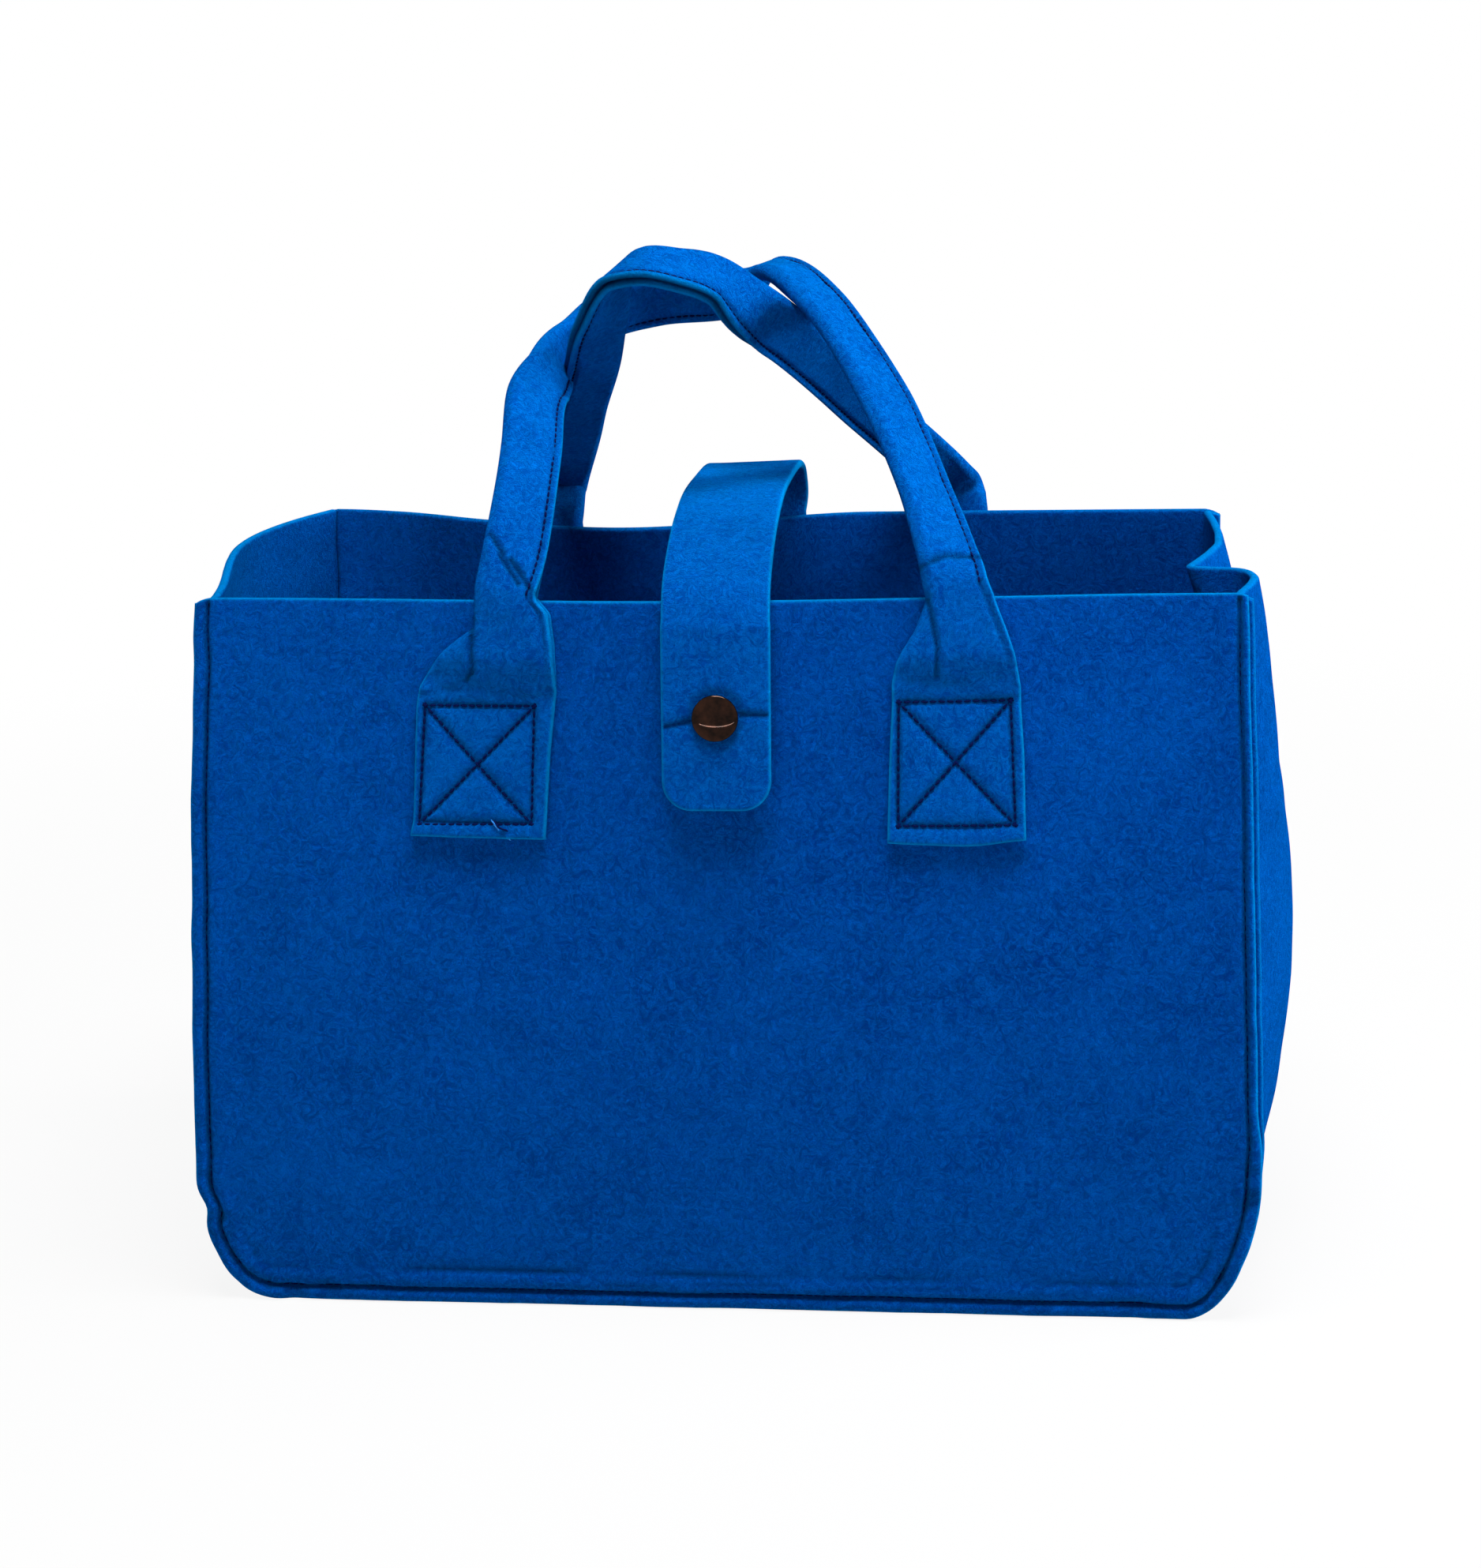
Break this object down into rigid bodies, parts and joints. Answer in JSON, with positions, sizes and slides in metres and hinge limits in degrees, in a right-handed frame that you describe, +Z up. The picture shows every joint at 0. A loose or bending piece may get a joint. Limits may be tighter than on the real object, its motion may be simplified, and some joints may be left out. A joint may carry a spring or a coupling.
{
  "type": "felt shopping bag",
  "caption": "Soft upright tote of thick felt: rectangular body open at the top, two folded carrying handles and a strap over the mouth held by a press stud.",
  "frame": {"origin": "centre of the bag's footprint box, at the height of what it stands on", "axes": "+X to the right seen from the front, +Y towards the back panel, +Z up; the press stud is on the front, which faces -Y"},
  "size_m": [0.3858, 0.212, 0.3453],
  "materials": {
    "felt_body": "matt needle felt",
    "felt_trim": "matt needle felt",
    "thread": "matt sewing thread",
    "snap_metal": "polished gunmetal"
  },
  "bodies": {
    "root": {"front_panel": "felt_body", "back_panel": "felt_body", "gusset": "felt_body", "handle_front": "felt_trim", "handle_back": "felt_trim", "closure_strap": "felt_trim", "snap_cap": "snap_metal", "snap_socket": "snap_metal", "snap_stud": "snap_metal", "snap_post": "snap_metal", "thread_front_left": "thread", "thread_front_right": "thread", "thread_back_left": "thread", "thread_back_right": "thread", "thread_strap": "thread"}
  },
  "joints": []
}
